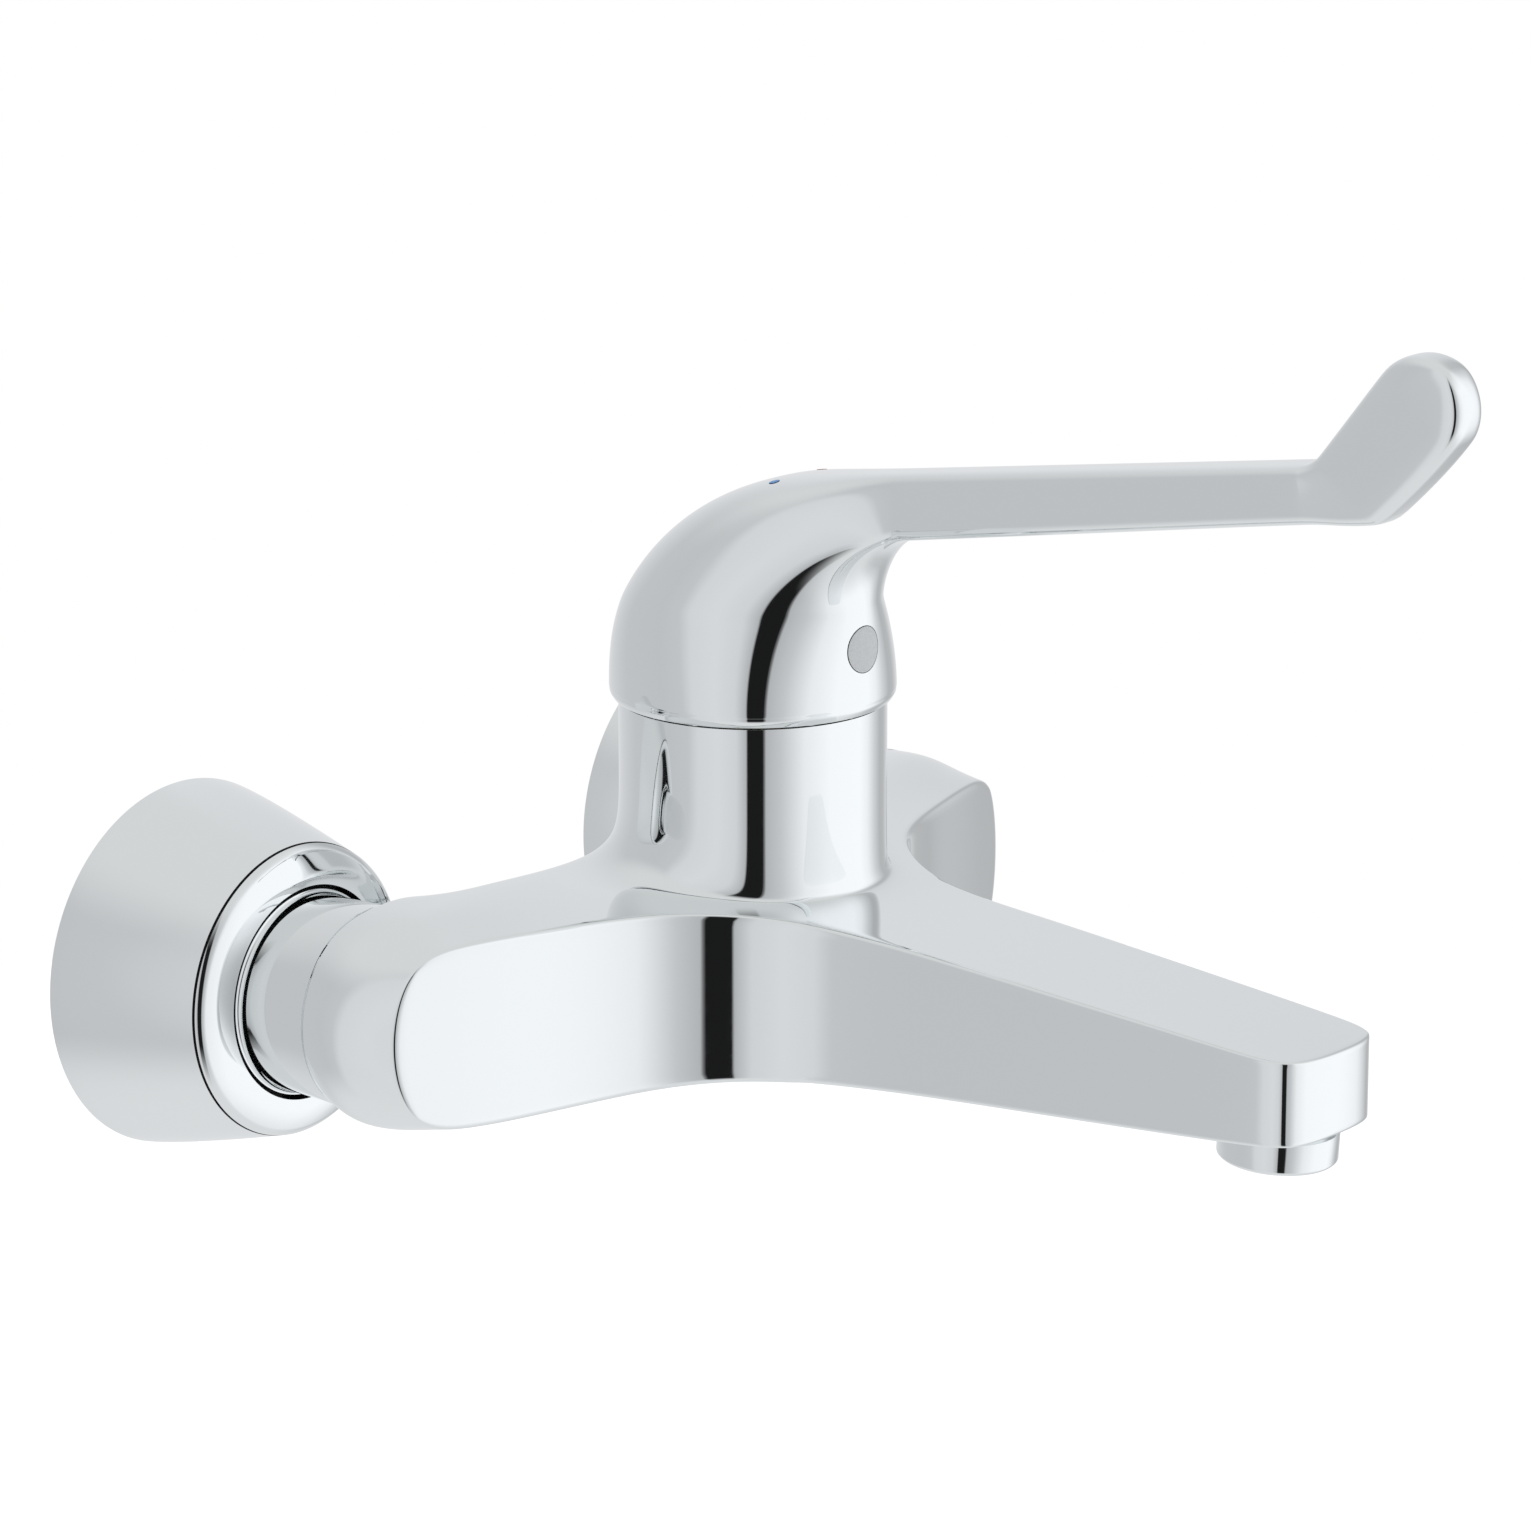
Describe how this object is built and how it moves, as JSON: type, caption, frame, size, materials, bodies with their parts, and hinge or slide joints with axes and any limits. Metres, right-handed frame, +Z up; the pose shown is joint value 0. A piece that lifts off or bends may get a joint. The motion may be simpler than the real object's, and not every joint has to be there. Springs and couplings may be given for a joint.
{
  "type": "wall mounted elbow lever tap",
  "caption": "Wall-mounted mixer tap with union inlets, round escutcheons, a long fixed spout and one long elbow-operated lever on a ceramic disc cartridge.",
  "frame": {"origin": "on the finished wall, midway between the two inlets, at the height of their axes", "axes": "+X to the right seen from the front, +Y into the wall, so the spout points along -Y, and +Z up"},
  "size_m": [0.22, 0.254, 0.169],
  "materials": {
    "chrome": "bright chrome plate on cast brass",
    "brass": "machined",
    "rubber": "moulded",
    "white_plastic": "moulded",
    "grey_plastic": "moulded",
    "ceramic": "lapped ceramic, weighed as a gloss plastic",
    "steel": "stainless",
    "plug_grey": "satin",
    "mark_blue": "enamel inlay",
    "mark_red": "enamel inlay",
    "limiter_red": "moulded"
  },
  "bodies": {
    "tap_body": {"body_casting": "chrome", "left_s_union": "chrome", "right_s_union": "chrome", "left_escutcheon": "chrome", "right_escutcheon": "chrome", "left_grip_ring": "rubber", "right_grip_ring": "rubber", "left_union_nut": "chrome", "right_union_nut": "chrome", "left_strainer_washer": "rubber", "right_strainer_washer": "rubber", "left_tail_piece": "brass", "right_tail_piece": "brass", "left_check_valve_body": "white_plastic", "right_check_valve_body": "white_plastic", "left_check_valve_spring": "steel", "right_check_valve_spring": "steel", "cartridge_base": "grey_plastic", "port_seals": "rubber", "fixed_disc": "ceramic", "cartridge_housing": "grey_plastic", "clamp_ring": "brass", "aerator_housing": "chrome", "aerator_insert": "white_plastic", "aerator_seal": "rubber"},
    "rotor": {"rotor": "white_plastic", "temperature_limiter": "limiter_red", "pivot_pin": "steel"},
    "lever": {"lever": "chrome", "spindle": "brass", "grub_screw": "steel", "index_plug": "plug_grey", "blue_mark": "mark_blue", "red_mark": "mark_red"},
    "disc_carrier": {"moving_disc": "ceramic", "disc_carrier": "white_plastic"},
    "left_poppet": {"left_check_valve_poppet": "grey_plastic"},
    "right_poppet": {"right_check_valve_poppet": "grey_plastic"}
  },
  "joints": [
    {"name": "temperature_turn", "type": "hinge", "parent": "tap_body", "child": "rotor", "pos_m": [0, -0.078, 0], "axis": [0, 0, 1], "range_deg": [-45, 45]},
    {"name": "flow_lift", "type": "hinge", "parent": "rotor", "child": "lever", "pos_m": [0, -0.078, 0.04215], "axis": [-1, 0, 0], "range_deg": [0, 24]},
    {"name": "disc_slide", "type": "slide", "parent": "rotor", "child": "disc_carrier", "axis": [0, -1, 0], "range_m": [0, 0.0039]},
    {"name": "left_poppet_slide", "type": "slide", "parent": "tap_body", "child": "left_poppet", "axis": [0, -1, 0], "range_m": [0, 0.003], "stiffness_N_per_m": 200, "springref_m": -0.002, "deforming": ["left_check_valve_spring"]},
    {"name": "right_poppet_slide", "type": "slide", "parent": "tap_body", "child": "right_poppet", "axis": [0, -1, 0], "range_m": [0, 0.003], "stiffness_N_per_m": 200, "springref_m": -0.002, "deforming": ["right_check_valve_spring"]}
  ],
  "couplings": [
    {"joint": "disc_slide", "follows": "flow_lift", "m_per_rad": 0.009}
  ]
}
